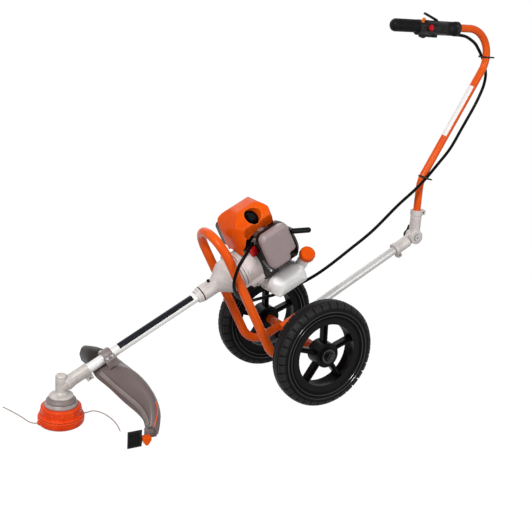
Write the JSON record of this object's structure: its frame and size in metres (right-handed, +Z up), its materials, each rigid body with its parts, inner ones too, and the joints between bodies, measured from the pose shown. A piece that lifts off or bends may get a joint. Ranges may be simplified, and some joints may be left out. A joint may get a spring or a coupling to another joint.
{
  "type": "wheeled string trimmer",
  "caption": "Wheeled string trimmer: petrol engine and drive tube on a two-wheeled frame, folding push handle with throttle grip, line head with guard resting on the ground.",
  "frame": {"origin": "Centre of the flat base of the line head, on the ground", "axes": "+X rearwards to the push handle, +Y to the machine's right side, +Z up along the head's axis"},
  "size_m": [1.416, 0.423, 1.0491],
  "materials": {
    "cast_alloy": "as cast, satin",
    "bearing_steel": "machined",
    "dark_alloy": "dark grey coat",
    "head_orange": "moulded nylon",
    "black_plastic": "moulded",
    "nylon_line": "drawn nylon",
    "taupe_plastic": "satin moulding",
    "orange_plastic": "glossy moulding",
    "bare_tube": "drawn, satin",
    "black_rubber": "soft",
    "filter_foam": "open foam",
    "muffler_steel": "heat resistant coat",
    "white_plastic": "blow moulded",
    "white_rope": "braided",
    "orange_paint": "gloss coat",
    "rim_plastic": "moulded nylon",
    "tyre_rubber": "moulded tread",
    "red_plastic": "moulded",
    "cable_sheath": "conduit",
    "zinc_steel": "zinc plated"
  },
  "bodies": {
    "chassis": {"gear_case": "cast_alloy", "bearings": "bearing_steel", "guard": "taupe_plastic", "guard_bracket": "cast_alloy", "guard_end_cap": "orange_plastic", "line_cutter": "black_plastic", "drive_tube": "bare_tube", "clutch_housing": "cast_alloy", "clutch_shoes": "bearing_steel", "crankcase": "cast_alloy", "crankshaft": "bearing_steel", "connecting_rod": "bearing_steel", "piston": "bare_tube", "engine_cylinder": "cast_alloy", "flywheel": "cast_alloy", "engine_shroud": "orange_plastic", "spark_plug": "bearing_steel", "spark_plug_boot": "black_rubber", "carburettor": "cast_alloy", "air_filter_element": "filter_foam", "air_filter_cover": "taupe_plastic", "muffler": "muffler_steel", "fuel_tank": "white_plastic", "starter_cover": "black_plastic", "starter_rope": "white_rope", "frame": "orange_paint", "axle": "bearing_steel", "rear_tube": "bare_tube", "lower_joint": "cast_alloy", "fasteners": "zinc_steel", "throttle_cable": "cable_sheath"},
    "cutting_head": {"bevel_gear": "bearing_steel", "output_spindle": "bearing_steel", "head_flange": "dark_alloy", "head_housing": "head_orange", "head_cover": "head_orange", "line_spool": "black_plastic", "trimmer_line_front": "nylon_line", "trimmer_line_rear": "nylon_line"},
    "drive_line": {"drive_shaft": "bearing_steel", "bevel_pinion": "bearing_steel", "clutch_drum": "bearing_steel"},
    "left_wheel": {"left_rim": "rim_plastic", "left_tyre": "tyre_rubber"},
    "right_wheel": {"right_rim": "rim_plastic", "right_tyre": "tyre_rubber"},
    "handle": {"upper_joint": "cast_alloy", "handlebar": "orange_paint", "throttle_grip": "black_plastic", "front_grip": "black_rubber", "cable_ties": "black_plastic"},
    "knob": {"clamp_knob": "black_plastic"},
    "trigger": {"throttle_trigger": "black_plastic"},
    "lockoff": {"lockoff_lever": "black_plastic"},
    "lock_button": {"throttle_lock_button": "orange_plastic"},
    "stop": {"stop_switch": "red_plastic"},
    "filler_cap": {"fuel_cap": "orange_plastic"},
    "choke": {"choke_lever": "black_plastic"},
    "pulley": {"starter_pulley": "white_plastic"},
    "pull_handle": {"starter_handle": "black_rubber"}
  },
  "joints": [
    {"name": "head_spin", "type": "hinge", "parent": "chassis", "child": "cutting_head", "pos_m": [0, 0, 0.1], "axis": [0, 0, 1], "continuous": true},
    {"name": "shaft_spin", "type": "hinge", "parent": "chassis", "child": "drive_line", "pos_m": [0, 0, 0.1], "axis": [0.8829, 0, 0.4695], "continuous": true},
    {"name": "left_wheel_spin", "type": "hinge", "parent": "chassis", "child": "left_wheel", "pos_m": [0.677, -0.155, 0.15], "axis": [0, 1, 0], "continuous": true},
    {"name": "right_wheel_spin", "type": "hinge", "parent": "chassis", "child": "right_wheel", "pos_m": [0.677, 0.155, 0.15], "axis": [0, 1, 0], "continuous": true},
    {"name": "handle_fold", "type": "hinge", "parent": "chassis", "child": "handle", "pos_m": [1.08424, 0, 0.40391], "axis": [0, 1, 0], "range_deg": [-45, 35], "deforming": ["throttle_cable"]},
    {"name": "clamp_knob_turn", "type": "hinge", "parent": "chassis", "child": "knob", "pos_m": [1.08424, 0.024, 0.40391], "axis": [0, 1, 0], "range_deg": [0, 180]},
    {"name": "trigger_squeeze", "type": "hinge", "parent": "handle", "child": "trigger", "pos_m": [1.05374, 0, 0.99255], "axis": [0, 1, 0], "range_deg": [0, 10], "stiffness_Nm_per_rad": 0.4, "springref_deg": -8.59},
    {"name": "lockoff_press", "type": "hinge", "parent": "handle", "child": "lockoff", "pos_m": [1.07374, 0, 1.02705], "axis": [0, 1, 0], "range_deg": [-12, 0], "stiffness_Nm_per_rad": 0.4, "springref_deg": 8.59},
    {"name": "lock_button_press", "type": "slide", "parent": "handle", "child": "lock_button", "axis": [0, -0.5, 0.866], "range_m": [-0.003, 0], "stiffness_N_per_m": 300, "springref_m": 0.003},
    {"name": "stop_switch_turn", "type": "hinge", "parent": "handle", "child": "stop", "pos_m": [1.04474, -0.0142, 1.00955], "axis": [0, 1, 0], "range_deg": [0, 30]},
    {"name": "fuel_cap_turn", "type": "hinge", "parent": "chassis", "child": "filler_cap", "pos_m": [0.66025, -0.054, 0.38764], "axis": [-0.1511, -0.6915, 0.7064], "range_deg": [0, 120]},
    {"name": "choke_turn", "type": "hinge", "parent": "chassis", "child": "choke", "pos_m": [0.59516, -0.079, 0.41419], "axis": [0, 1, 0], "range_deg": [-35, 20]},
    {"name": "starter_pull", "type": "slide", "parent": "chassis", "child": "pull_handle", "axis": [-0.0572, -0.9925, 0.1076], "range_m": [0, 0.6], "stiffness_N_per_m": 30, "springref_m": -0.5, "deforming": ["starter_rope"]},
    {"name": "pulley_turn", "type": "hinge", "parent": "chassis", "child": "pulley", "pos_m": [0.62265, 0, 0.43107], "axis": [0.8829, 0, 0.4695], "range_deg": [0, 782]}
  ],
  "couplings": [
    {"joint": "shaft_spin", "follows": "head_spin", "ratio": -1.3571},
    {"joint": "pulley_turn", "follows": "starter_pull", "rad_per_m": 22.727}
  ]
}
